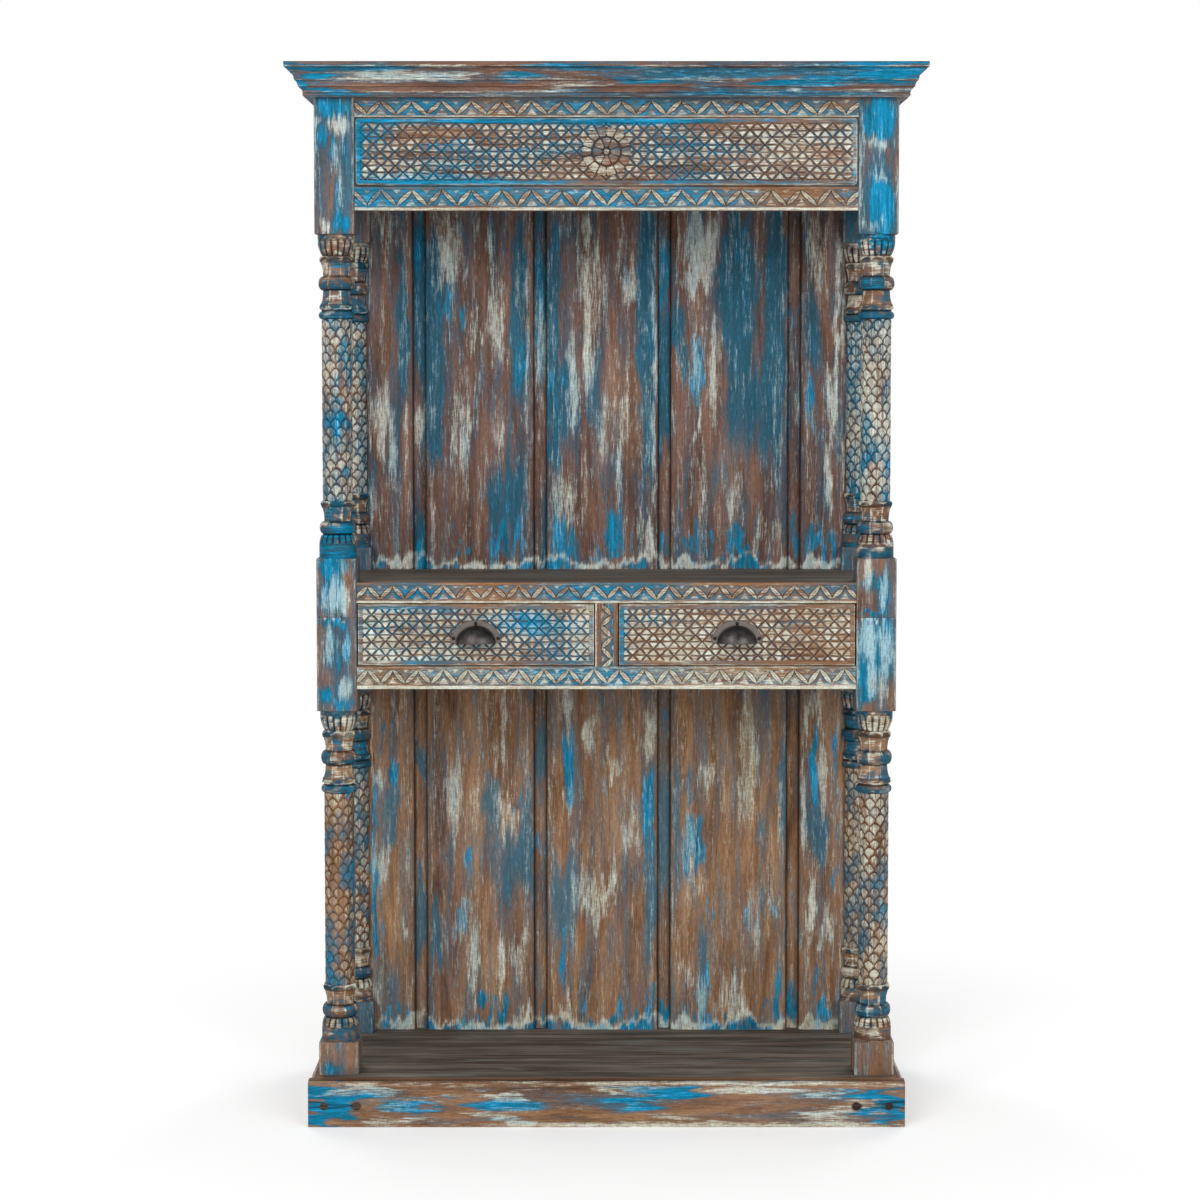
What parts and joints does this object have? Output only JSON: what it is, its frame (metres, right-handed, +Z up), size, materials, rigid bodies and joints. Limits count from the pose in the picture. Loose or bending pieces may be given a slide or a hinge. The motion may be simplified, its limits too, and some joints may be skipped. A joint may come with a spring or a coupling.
{
  "type": "shelving unit",
  "caption": "Tall carved wooden shelving unit in distressed blue paint: turned corner posts, planked back, open bays above and below inset drawers with cup pulls, moulded cornice and plinth.",
  "frame": {"origin": "centre of the bounding box at floor level", "axes": "+Z up, -Y towards the front with the drawers, +X to the right of someone facing the front"},
  "size_m": [1.106, 0.409, 1.85],
  "materials": {
    "painted_wood": "worn blue and cream paint over brown wood",
    "carved_wood": "carved wood with rubbed blue and cream paint",
    "deck_wood": "dark grey-brown waxed wood",
    "drawer_box_wood": "plain unpainted wood",
    "hidden_wood": "plain rough wood",
    "pull_iron": "antique gunmetal",
    "screw_steel": "darkened steel"
  },
  "bodies": {
    "frame": {"back_low_rail": "hidden_wood", "back_plank_1": "painted_wood", "back_plank_2": "painted_wood", "back_plank_3": "painted_wood", "back_plank_4": "painted_wood", "back_plank_5": "painted_wood", "back_strip_1": "painted_wood", "back_strip_2": "painted_wood", "back_strip_3": "painted_wood", "back_strip_4": "painted_wood", "back_top_rail": "hidden_wood", "base_corner_blocks": "hidden_wood", "base_deck": "deck_wood", "carcase_left_side": "painted_wood", "carcase_right_side": "painted_wood", "cornice_front": "painted_wood", "cornice_left": "painted_wood", "cornice_right": "painted_wood", "drawer_centre_guide": "hidden_wood", "drawer_centre_stile": "carved_wood", "drawer_low_rail": "carved_wood", "drawer_outer_guides": "hidden_wood", "drawer_top_rail": "carved_wood", "dust_board": "hidden_wood", "front_left_lower_post": "carved_wood", "front_left_upper_post": "carved_wood", "front_right_lower_post": "carved_wood", "front_right_upper_post": "carved_wood", "header_left_end": "painted_wood", "header_low_rail": "carved_wood", "header_panel": "carved_wood", "header_right_end": "painted_wood", "header_top_rail": "carved_wood", "plinth_back": "hidden_wood", "plinth_front": "painted_wood", "plinth_left": "painted_wood", "plinth_plugs": "painted_wood", "plinth_right": "painted_wood", "post_dowels": "hidden_wood", "rear_left_lower_post": "carved_wood", "rear_left_upper_post": "carved_wood", "rear_right_lower_post": "carved_wood", "rear_right_upper_post": "carved_wood", "shelf_board": "deck_wood", "top_board": "painted_wood"},
    "left_drawer": {"left_drawer_back": "drawer_box_wood", "left_drawer_bottom": "drawer_box_wood", "left_drawer_front": "carved_wood", "left_drawer_inner_side": "drawer_box_wood", "left_drawer_outer_side": "drawer_box_wood", "left_drawer_pull": "pull_iron", "left_drawer_pull_screws": "screw_steel"},
    "right_drawer": {"right_drawer_back": "drawer_box_wood", "right_drawer_bottom": "drawer_box_wood", "right_drawer_front": "carved_wood", "right_drawer_inner_side": "drawer_box_wood", "right_drawer_outer_side": "drawer_box_wood", "right_drawer_pull": "pull_iron", "right_drawer_pull_screws": "screw_steel"}
  },
  "joints": [
    {"name": "left_drawer_slide", "type": "slide", "parent": "frame", "child": "left_drawer", "axis": [0, -1, 0], "range_m": [0, 0.2]},
    {"name": "right_drawer_slide", "type": "slide", "parent": "frame", "child": "right_drawer", "axis": [0, -1, 0], "range_m": [0, 0.2]}
  ]
}
